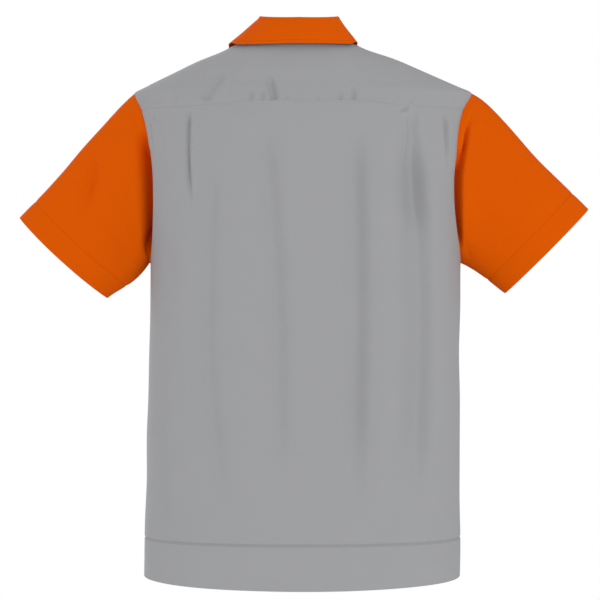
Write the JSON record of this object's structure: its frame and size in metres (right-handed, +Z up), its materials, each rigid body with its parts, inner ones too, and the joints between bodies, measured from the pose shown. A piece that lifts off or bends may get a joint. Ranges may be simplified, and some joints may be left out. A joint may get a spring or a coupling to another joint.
{
  "type": "polo shirt",
  "caption": "Short-sleeved polo shirt, grey body with orange collar and sleeves, filled out as worn, open at neck, cuffs and hem.",
  "frame": {"origin": "in the middle of the neck's base, level with the inner ends of the shoulder seams, where the wearer's neck and shoulders hold the shirt", "axes": "+Z up, the front faces -Y, +X towards the wearer's left sleeve"},
  "size_m": [0.814, 0.2719, 0.802],
  "materials": {
    "grey_cloth": "matte woven, fine twill",
    "orange_cloth": "matte woven, fine twill",
    "grey_button": "semi-gloss"
  },
  "bodies": {
    "root": {"back": "grey_cloth", "yoke": "grey_cloth", "front": "grey_cloth", "hem_band_back": "grey_cloth", "hem_band_front": "grey_cloth", "sleeve_left": "orange_cloth", "sleeve_right": "orange_cloth", "collar": "orange_cloth", "placket": "grey_cloth", "button_1": "grey_button", "button_2": "grey_button", "button_3": "grey_button"}
  },
  "joints": []
}
